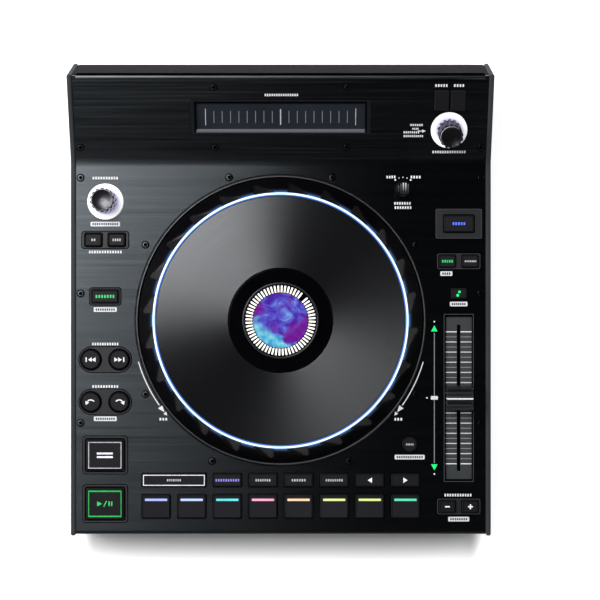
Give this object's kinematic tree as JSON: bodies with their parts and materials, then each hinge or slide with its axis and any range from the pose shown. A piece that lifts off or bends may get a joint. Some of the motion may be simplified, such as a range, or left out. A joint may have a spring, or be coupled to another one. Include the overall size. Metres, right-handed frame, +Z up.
{
  "type": "dj controller",
  "caption": "Single-deck DJ controller: low metal box with a large turning jog wheel, pitch fader, pads, buttons, encoder knobs and a raised rear slope with a touch strip.",
  "frame": {"origin": "middle of the box at the level of the feet", "axes": "+X to the right of the person using it, +Y to the rear slope, +Z up"},
  "size_m": [0.294, 0.3322, 0.0785],
  "materials": {
    "deck_metal": "brushed, dark anodised",
    "rear_metal": "satin",
    "chassis_metal": "fine texture, black",
    "cheek_plastic": "matte",
    "frame_plastic": "satin",
    "cap_plastic": "matte",
    "pad_rubber": "soft matte",
    "platter_gloss": "gloss",
    "disc_metal": "radially brushed",
    "light_plastic": "translucent, lit",
    "display_glass": "gloss",
    "strip_plastic": "smoked gloss",
    "steel": "turned",
    "knob_gloss": "gloss",
    "board": "solder mask",
    "foot_rubber": "matte"
  },
  "bodies": {
    "root": {"top_panel": "deck_metal", "inner_frame": "frame_plastic", "control_board": "board", "browse_board": "board", "bottom_tray": "chassis_metal", "rear_bar": "rear_metal", "side_cheek_left": "cheek_plastic", "side_cheek_right": "cheek_plastic", "foot_front_left": "foot_rubber", "foot_front_right": "foot_rubber", "foot_rear_left": "foot_rubber", "foot_rear_right": "foot_rubber", "jog_spindle": "steel", "display_unit": "display_glass", "fader_plate": "frame_plastic", "touch_strip": "strip_plastic", "auto_loop_light_ring": "light_plastic", "select_light_ring": "light_plastic"},
    "jog": {"jog_platter": "platter_gloss", "jog_top_disc": "disc_metal", "jog_light_ring": "light_plastic"},
    "pitch_cap": {"pitch_fader_cap": "cap_plastic"},
    "auto_loop_push": {"auto_loop_shaft": "steel"},
    "auto_loop_dial": {"auto_loop_knob": "knob_gloss"},
    "select_push": {"select_shaft": "steel"},
    "select_dial": {"select_knob": "knob_gloss"},
    "wheel_adjust": {"wheel_adjust_knob": "knob_gloss"},
    "play": {"play_button": "cap_plastic"},
    "cue": {"cue_button": "cap_plastic"},
    "jump_back": {"jump_back_button": "cap_plastic"},
    "jump_forward": {"jump_forward_button": "cap_plastic"},
    "skip_back": {"skip_back_button": "cap_plastic"},
    "skip_forward": {"skip_forward_button": "cap_plastic"},
    "censor": {"censor_button": "cap_plastic"},
    "loop_in": {"loop_in_button": "cap_plastic"},
    "loop_out": {"loop_out_button": "cap_plastic"},
    "vinyl": {"vinyl_button": "cap_plastic"},
    "sync": {"sync_button": "cap_plastic"},
    "key_lock": {"key_lock_button": "cap_plastic"},
    "key": {"key_button": "cap_plastic"},
    "bend_minus": {"bend_minus_button": "cap_plastic"},
    "bend_plus": {"bend_plus_button": "cap_plastic"},
    "deck_select": {"deck_select_button": "cap_plastic"},
    "shift": {"shift_button": "cap_plastic"},
    "mode_1": {"mode_button_1": "cap_plastic"},
    "mode_2": {"mode_button_2": "cap_plastic"},
    "mode_3": {"mode_button_3": "cap_plastic"},
    "mode_4": {"mode_button_4": "cap_plastic"},
    "page_left": {"page_left_button": "cap_plastic"},
    "page_right": {"page_right_button": "cap_plastic"},
    "back": {"back_button": "cap_plastic"},
    "forward": {"forward_button": "cap_plastic"},
    "pad_1": {"pad_1": "pad_rubber"},
    "pad_2": {"pad_2": "pad_rubber"},
    "pad_3": {"pad_3": "pad_rubber"},
    "pad_4": {"pad_4": "pad_rubber"},
    "pad_5": {"pad_5": "pad_rubber"},
    "pad_6": {"pad_6": "pad_rubber"},
    "pad_7": {"pad_7": "pad_rubber"},
    "pad_8": {"pad_8": "pad_rubber"}
  },
  "joints": [
    {"name": "jog_spin", "type": "hinge", "parent": "root", "child": "jog", "pos_m": [0, -0.01544, 0.05], "axis": [0, 0, 1], "continuous": true},
    {"name": "pitch_slide", "type": "slide", "parent": "root", "child": "pitch_cap", "axis": [0, 1, 0], "range_m": [-0.0462, 0.0462]},
    {"name": "auto_loop_press", "type": "slide", "parent": "root", "child": "auto_loop_push", "axis": [0, 0, -1], "range_m": [0, 0.0006], "stiffness_N_per_m": 2000},
    {"name": "auto_loop_turn", "type": "hinge", "parent": "auto_loop_push", "child": "auto_loop_dial", "pos_m": [-0.12285, 0.06765, 0.05], "axis": [0, 0, 1], "continuous": true},
    {"name": "select_press", "type": "slide", "parent": "root", "child": "select_push", "axis": [0, 0.3502, -0.9367], "range_m": [0, 0.0006], "stiffness_N_per_m": 2000},
    {"name": "select_turn", "type": "hinge", "parent": "select_push", "child": "select_dial", "pos_m": [0.117, 0.11657, 0.05823], "axis": [0, -0.3502, 0.9367], "continuous": true},
    {"name": "wheel_adjust_turn", "type": "hinge", "parent": "root", "child": "wheel_adjust", "pos_m": [0.0855, 0.07576, 0.05], "axis": [0, 0, 1], "range_deg": [-145, 145]},
    {"name": "play_press", "type": "slide", "parent": "root", "child": "play", "axis": [0, 0, -1], "range_m": [0, 0.0006], "stiffness_N_per_m": 600},
    {"name": "cue_press", "type": "slide", "parent": "root", "child": "cue", "axis": [0, 0, -1], "range_m": [0, 0.0006], "stiffness_N_per_m": 600},
    {"name": "jump_back_press", "type": "slide", "parent": "root", "child": "jump_back", "axis": [0, 0, -1], "range_m": [0, 0.0006], "stiffness_N_per_m": 600},
    {"name": "jump_forward_press", "type": "slide", "parent": "root", "child": "jump_forward", "axis": [0, 0, -1], "range_m": [0, 0.0006], "stiffness_N_per_m": 600},
    {"name": "skip_back_press", "type": "slide", "parent": "root", "child": "skip_back", "axis": [0, 0, -1], "range_m": [0, 0.0006], "stiffness_N_per_m": 600},
    {"name": "skip_forward_press", "type": "slide", "parent": "root", "child": "skip_forward", "axis": [0, 0, -1], "range_m": [0, 0.0006], "stiffness_N_per_m": 600},
    {"name": "censor_press", "type": "slide", "parent": "root", "child": "censor", "axis": [0, 0, -1], "range_m": [0, 0.0006], "stiffness_N_per_m": 600},
    {"name": "loop_in_press", "type": "slide", "parent": "root", "child": "loop_in", "axis": [0, 0, -1], "range_m": [0, 0.0006], "stiffness_N_per_m": 600},
    {"name": "loop_out_press", "type": "slide", "parent": "root", "child": "loop_out", "axis": [0, 0, -1], "range_m": [0, 0.0006], "stiffness_N_per_m": 600},
    {"name": "vinyl_press", "type": "slide", "parent": "root", "child": "vinyl", "axis": [0, 0, -1], "range_m": [0, 0.0006], "stiffness_N_per_m": 600},
    {"name": "sync_press", "type": "slide", "parent": "root", "child": "sync", "axis": [0, 0, -1], "range_m": [0, 0.0006], "stiffness_N_per_m": 600},
    {"name": "key_lock_press", "type": "slide", "parent": "root", "child": "key_lock", "axis": [0, 0, -1], "range_m": [0, 0.0006], "stiffness_N_per_m": 600},
    {"name": "key_press", "type": "slide", "parent": "root", "child": "key", "axis": [0, 0, -1], "range_m": [0, 0.0006], "stiffness_N_per_m": 600},
    {"name": "bend_minus_press", "type": "slide", "parent": "root", "child": "bend_minus", "axis": [0, 0, -1], "range_m": [0, 0.0006], "stiffness_N_per_m": 600},
    {"name": "bend_plus_press", "type": "slide", "parent": "root", "child": "bend_plus", "axis": [0, 0, -1], "range_m": [0, 0.0006], "stiffness_N_per_m": 600},
    {"name": "deck_select_press", "type": "slide", "parent": "root", "child": "deck_select", "axis": [0, 0, -1], "range_m": [0, 0.0006], "stiffness_N_per_m": 600},
    {"name": "shift_press", "type": "slide", "parent": "root", "child": "shift", "axis": [0, 0, -1], "range_m": [0, 0.0006], "stiffness_N_per_m": 600},
    {"name": "mode_1_press", "type": "slide", "parent": "root", "child": "mode_1", "axis": [0, 0, -1], "range_m": [0, 0.0006], "stiffness_N_per_m": 600},
    {"name": "mode_2_press", "type": "slide", "parent": "root", "child": "mode_2", "axis": [0, 0, -1], "range_m": [0, 0.0006], "stiffness_N_per_m": 600},
    {"name": "mode_3_press", "type": "slide", "parent": "root", "child": "mode_3", "axis": [0, 0, -1], "range_m": [0, 0.0006], "stiffness_N_per_m": 600},
    {"name": "mode_4_press", "type": "slide", "parent": "root", "child": "mode_4", "axis": [0, 0, -1], "range_m": [0, 0.0006], "stiffness_N_per_m": 600},
    {"name": "page_left_press", "type": "slide", "parent": "root", "child": "page_left", "axis": [0, 0, -1], "range_m": [0, 0.0006], "stiffness_N_per_m": 600},
    {"name": "page_right_press", "type": "slide", "parent": "root", "child": "page_right", "axis": [0, 0, -1], "range_m": [0, 0.0006], "stiffness_N_per_m": 600},
    {"name": "back_press", "type": "slide", "parent": "root", "child": "back", "axis": [0, 0.3502, -0.9367], "range_m": [0, 0.0006], "stiffness_N_per_m": 600},
    {"name": "forward_press", "type": "slide", "parent": "root", "child": "forward", "axis": [0, 0.3502, -0.9367], "range_m": [0, 0.0006], "stiffness_N_per_m": 600},
    {"name": "pad_1_press", "type": "slide", "parent": "root", "child": "pad_1", "axis": [0, 0, -1], "range_m": [0, 0.0006], "stiffness_N_per_m": 600},
    {"name": "pad_2_press", "type": "slide", "parent": "root", "child": "pad_2", "axis": [0, 0, -1], "range_m": [0, 0.0006], "stiffness_N_per_m": 600},
    {"name": "pad_3_press", "type": "slide", "parent": "root", "child": "pad_3", "axis": [0, 0, -1], "range_m": [0, 0.0006], "stiffness_N_per_m": 600},
    {"name": "pad_4_press", "type": "slide", "parent": "root", "child": "pad_4", "axis": [0, 0, -1], "range_m": [0, 0.0006], "stiffness_N_per_m": 600},
    {"name": "pad_5_press", "type": "slide", "parent": "root", "child": "pad_5", "axis": [0, 0, -1], "range_m": [0, 0.0006], "stiffness_N_per_m": 600},
    {"name": "pad_6_press", "type": "slide", "parent": "root", "child": "pad_6", "axis": [0, 0, -1], "range_m": [0, 0.0006], "stiffness_N_per_m": 600},
    {"name": "pad_7_press", "type": "slide", "parent": "root", "child": "pad_7", "axis": [0, 0, -1], "range_m": [0, 0.0006], "stiffness_N_per_m": 600},
    {"name": "pad_8_press", "type": "slide", "parent": "root", "child": "pad_8", "axis": [0, 0, -1], "range_m": [0, 0.0006], "stiffness_N_per_m": 600}
  ]
}
